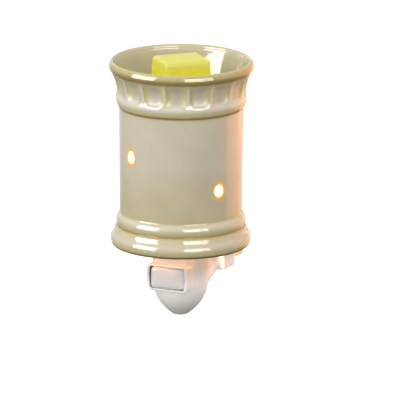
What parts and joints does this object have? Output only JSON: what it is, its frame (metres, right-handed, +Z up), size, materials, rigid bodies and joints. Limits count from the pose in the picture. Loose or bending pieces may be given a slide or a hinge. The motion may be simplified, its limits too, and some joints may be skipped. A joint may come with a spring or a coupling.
{
  "type": "wax melt warmer",
  "caption": "Plug-in wax melt warmer: a glazed ceramic shade with a melting dish on top, over a small lamp on a switched, swivelling plug base.",
  "frame": {"origin": "centre of the plug's rear face, where it meets the wall outlet", "axes": "+Y into the wall along the blades, +Z up along the shade's axis, +X to the right of someone facing the wall"},
  "size_m": [0.0796, 0.1033, 0.1447],
  "materials": {
    "glazed_stoneware": "glossy cream glaze that pools olive in the hollows",
    "yellow_wax": "soft translucent scented wax",
    "plated_steel": "zinc plated sheet",
    "screw_steel": "zinc plated",
    "white_plastic": "satin white moulding",
    "rocker_plastic": "satin white moulding",
    "holder_plastic": "heat resistant moulding",
    "brass": "bright",
    "solder": "dull solder",
    "black_glass": "fused black insulator",
    "nickel_brass": "nickel plated",
    "bulb_glass": "clear glass, lit from inside",
    "stem_glass": "clear glass",
    "filament_wire": "glowing tungsten",
    "spring_steel": "spring steel",
    "black_plastic": "moulded insulator",
    "blade_metal": "nickel tinted brass",
    "black_insulation": "insulated wire",
    "white_insulation": "insulated wire"
  },
  "bodies": {
    "plug": {"plug_head": "white_plastic", "line_blade": "blade_metal", "neutral_blade": "blade_metal", "slip_ring": "brass", "swivel_clip": "spring_steel"},
    "base": {"base_cup": "white_plastic", "cover_ring": "white_plastic", "lamp_plate": "plated_steel", "plate_screws": "screw_steel", "lamp_holder": "holder_plastic", "socket_shell": "brass", "socket_contact": "brass", "switch_case": "black_plastic", "common_terminal": "brass", "switched_terminal": "brass", "brush_carrier": "black_plastic", "line_brush": "brass", "neutral_brush": "brass", "line_wire": "black_insulation", "switch_wire": "black_insulation", "neutral_wire": "white_insulation"},
    "rocker": {"rocker": "rocker_plastic", "rocker_plunger": "brass", "rocker_spring": "spring_steel"},
    "contact_arm": {"contact_arm": "brass"},
    "bulb": {"bulb_tip": "solder", "bulb_insulator": "black_glass", "bulb_base": "nickel_brass", "bulb_glass": "bulb_glass", "bulb_stem": "stem_glass", "bulb_filament": "filament_wire"},
    "shade": {"shade_body": "glazed_stoneware", "shade_dish": "glazed_stoneware"},
    "wax_melt": {"wax_melt": "yellow_wax"}
  },
  "joints": [
    {"name": "plug_swivel", "type": "hinge", "parent": "plug", "child": "base", "pos_m": [0, -0.0132, 0], "axis": [0, 1, 0], "range_deg": [0, 90]},
    {"name": "rocker_rock", "type": "hinge", "parent": "base", "child": "rocker", "pos_m": [0, -0.058, -0.0004], "axis": [0, 0, 1], "range_deg": [-20, 0]},
    {"name": "contact_arm_rock", "type": "hinge", "parent": "base", "child": "contact_arm", "pos_m": [0, -0.0524, -0.0004], "axis": [0, 0, 1], "range_deg": [0, 12]},
    {"name": "bulb_turn", "type": "hinge", "parent": "base", "child": "bulb", "pos_m": [0, -0.046, 0.03], "axis": [0, 0, 1], "continuous": true},
    {"name": "shade_lift", "type": "slide", "parent": "base", "child": "shade", "axis": [0, 0, 1], "range_m": [0, 0.09]},
    {"name": "wax_lift", "type": "slide", "parent": "shade", "child": "wax_melt", "axis": [0, 0, 1], "range_m": [0, 0.04]}
  ],
  "couplings": [
    {"joint": "contact_arm_rock", "follows": "rocker_rock", "ratio": -0.6}
  ]
}
